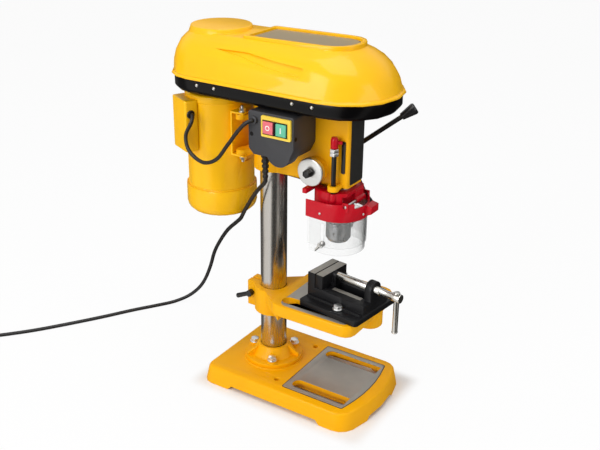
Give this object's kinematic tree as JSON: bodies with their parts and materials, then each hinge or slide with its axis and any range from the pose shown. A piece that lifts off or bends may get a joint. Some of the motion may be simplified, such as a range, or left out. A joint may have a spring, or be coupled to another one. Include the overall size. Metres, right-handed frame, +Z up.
{
  "type": "bench pillar drill",
  "caption": "Bench pillar drill: cast base, steel column, table with a drill vise, belt driven head with feed handles, chuck behind a hinged guard, switch box and mains lead.",
  "frame": {"origin": "middle of the machine's box at bench level, the mains lead left out", "axes": "+Z up along the column, +X the operator's right, +Y the back"},
  "size_m": [0.5391, 0.8536, 0.6226],
  "materials": {
    "yellow_paint": "glossy golden yellow paint on castings and sheet",
    "cover_yellow": "glossy golden yellow moulded plastic",
    "cast_yellow": "cast iron in golden yellow paint, machined grey on its working pads",
    "steel": "ground steel, slightly streaked",
    "dark_steel": "dark oiled steel",
    "zinc": "bright zinc",
    "black_cast": "black satin paint on cast iron",
    "black_plastic": "black plastic",
    "red_plastic": "crimson gloss plastic",
    "clear_plastic": "clear plastic sheet",
    "frame_yellow": "pale yellow plastic",
    "red_button": "rose red plastic",
    "green_button": "mint green plastic",
    "rubber": "black rubber"
  },
  "bodies": {
    "machine": {"base": "cast_yellow", "column_flange": "cast_yellow", "flange_bolt_1": "zinc", "flange_bolt_2": "zinc", "flange_bolt_3": "zinc", "column": "steel", "head": "cast_yellow", "spring_cap": "zinc", "spring_nut": "zinc", "depth_scale": "black_plastic", "switch_box": "black_plastic", "switch_frame": "frame_yellow", "strain_relief": "rubber", "motor_body": "yellow_paint", "motor_bracket": "yellow_paint", "motor_fan_cover": "yellow_paint", "motor_terminal_box": "yellow_paint", "drive_belt": "rubber", "belt_tray": "black_plastic", "motor_lead": "rubber", "power_cord": "rubber", "cord_coil": "rubber", "plug": "rubber"},
    "table": {"table": "cast_yellow", "vise_body": "black_cast", "vise_bolt_left": "zinc", "vise_bolt_right": "zinc"},
    "table_clamp": {"table_clamp_lever": "black_plastic"},
    "vise_jaw": {"vise_moving_jaw": "black_cast"},
    "vise_screw": {"vise_screw": "steel"},
    "vise_bar": {"vise_bar": "steel"},
    "quill": {"quill": "steel", "guard_carrier": "red_plastic", "guard_pin": "zinc", "depth_rod": "dark_steel", "depth_pointer": "red_plastic"},
    "feed": {"feed_hub": "dark_steel", "feed_spoke_1": "dark_steel", "feed_spoke_2": "dark_steel", "feed_spoke_3": "dark_steel", "feed_knob_1": "black_plastic", "feed_knob_2": "black_plastic", "feed_knob_3": "black_plastic"},
    "spindle": {"spindle": "steel", "chuck_body": "dark_steel"},
    "chuck_sleeve": {"chuck_sleeve": "dark_steel"},
    "jaw_1": {"chuck_jaw_1": "dark_steel"},
    "jaw_2": {"chuck_jaw_2": "dark_steel"},
    "jaw_3": {"chuck_jaw_3": "dark_steel"},
    "depth_nuts": {"depth_nuts": "zinc"},
    "spindle_pulley": {"spindle_pulley": "steel"},
    "motor_pulley": {"motor_pulley": "steel"},
    "belt_cover": {"belt_cover": "cover_yellow"},
    "guard": {"guard_band": "red_plastic", "guard_shield": "clear_plastic"},
    "visor": {"guard_visor": "clear_plastic"},
    "wing_nut_left": {"wing_nut_left": "zinc"},
    "wing_nut_right": {"wing_nut_right": "zinc"},
    "stop_button": {"stop_button": "red_button"},
    "start_button": {"start_button": "green_button"}
  },
  "joints": [
    {"name": "table_slide", "type": "slide", "parent": "machine", "child": "table", "axis": [0, 0, -1], "range_m": [-0.042, 0.065]},
    {"name": "table_clamp_turn", "type": "hinge", "parent": "table", "child": "table_clamp", "pos_m": [-0.0145, 0.0818, 0.156], "axis": [1, 0, 0], "range_deg": [-40, 100]},
    {"name": "vise_jaw_slide", "type": "slide", "parent": "table", "child": "vise_jaw", "axis": [-0.1271, -0.9919, 0], "range_m": [0, 0.045]},
    {"name": "vise_screw_turn", "type": "hinge", "parent": "vise_jaw", "child": "vise_screw", "pos_m": [-0.015, -0.0512, 0.234], "axis": [-0.1271, -0.9919, 0], "range_deg": [0, 4052]},
    {"name": "vise_bar_slide", "type": "slide", "parent": "vise_screw", "child": "vise_bar", "axis": [0, 0, 1], "range_m": [0, 0.054]},
    {"name": "quill_slide", "type": "slide", "parent": "machine", "child": "quill", "axis": [0, 0, -1], "range_m": [0, 0.045], "stiffness_N_per_m": 400, "springref_m": -0.1},
    {"name": "feed_turn", "type": "hinge", "parent": "machine", "child": "feed", "pos_m": [-0.0145, -0.05653, 0.423], "axis": [1, 0, 0], "range_deg": [0, 258]},
    {"name": "spindle_turn", "type": "hinge", "parent": "quill", "child": "spindle", "pos_m": [-0.0145, -0.0832, 0.4], "axis": [0, 0, 1], "continuous": true},
    {"name": "chuck_sleeve_turn", "type": "hinge", "parent": "spindle", "child": "chuck_sleeve", "pos_m": [-0.0145, -0.0832, 0.31], "axis": [0, 0, 1], "range_deg": [-1140, 210]},
    {"name": "jaw_1_slide", "type": "slide", "parent": "spindle", "child": "jaw_1", "axis": [0.2241, 0.1294, 0.9659], "range_m": [-0.008, 0.0015]},
    {"name": "jaw_2_slide", "type": "slide", "parent": "spindle", "child": "jaw_2", "axis": [-0.2241, 0.1294, 0.9659], "range_m": [-0.008, 0.0015]},
    {"name": "jaw_3_slide", "type": "slide", "parent": "spindle", "child": "jaw_3", "axis": [0, -0.2588, 0.9659], "range_m": [-0.008, 0.0015]},
    {"name": "depth_nuts_slide", "type": "slide", "parent": "quill", "child": "depth_nuts", "axis": [0, 0, 1], "range_m": [-0.048, 0]},
    {"name": "spindle_pulley_turn", "type": "hinge", "parent": "machine", "child": "spindle_pulley", "pos_m": [-0.0145, -0.0832, 0.55], "axis": [0, 0, 1], "continuous": true},
    {"name": "motor_pulley_turn", "type": "hinge", "parent": "machine", "child": "motor_pulley", "pos_m": [-0.0145, 0.1528, 0.55], "axis": [0, 0, 1], "continuous": true},
    {"name": "belt_cover_turn", "type": "hinge", "parent": "machine", "child": "belt_cover", "pos_m": [-0.106, 0.0438, 0.54845], "axis": [0, -1, 0], "range_deg": [0, 90]},
    {"name": "guard_turn", "type": "hinge", "parent": "quill", "child": "guard", "pos_m": [-0.0145, -0.1142, 0.373], "axis": [-1, 0, 0], "range_deg": [0, 100]},
    {"name": "visor_slide", "type": "slide", "parent": "guard", "child": "visor", "axis": [0, 0, -1], "range_m": [0, 0.033]},
    {"name": "wing_nut_left_turn", "type": "hinge", "parent": "guard", "child": "wing_nut_left", "pos_m": [-0.0145, -0.0782, 0.303], "axis": [-1, 0, 0], "range_deg": [0, 720]},
    {"name": "wing_nut_right_turn", "type": "hinge", "parent": "guard", "child": "wing_nut_right", "pos_m": [-0.0145, -0.0782, 0.303], "axis": [1, 0, 0], "range_deg": [0, 720]},
    {"name": "stop_button_press", "type": "slide", "parent": "machine", "child": "stop_button", "axis": [1, 0, 0], "range_m": [0, 0.003], "stiffness_N_per_m": 400, "springref_m": -0.002},
    {"name": "start_button_press", "type": "slide", "parent": "machine", "child": "start_button", "axis": [1, 0, 0], "range_m": [0, 0.003], "stiffness_N_per_m": 400, "springref_m": -0.002}
  ],
  "couplings": [
    {"joint": "feed_turn", "follows": "quill_slide", "rad_per_m": 100},
    {"joint": "vise_screw_turn", "follows": "vise_jaw_slide", "rad_per_m": 1570.8},
    {"joint": "spindle_turn", "follows": "spindle_pulley_turn", "ratio": 1},
    {"joint": "motor_pulley_turn", "follows": "spindle_pulley_turn", "ratio": 1.2333},
    {"joint": "jaw_1_slide", "follows": "chuck_sleeve_turn", "m_per_rad": 0.0004},
    {"joint": "jaw_2_slide", "follows": "chuck_sleeve_turn", "m_per_rad": 0.0004},
    {"joint": "jaw_3_slide", "follows": "chuck_sleeve_turn", "m_per_rad": 0.0004}
  ]
}
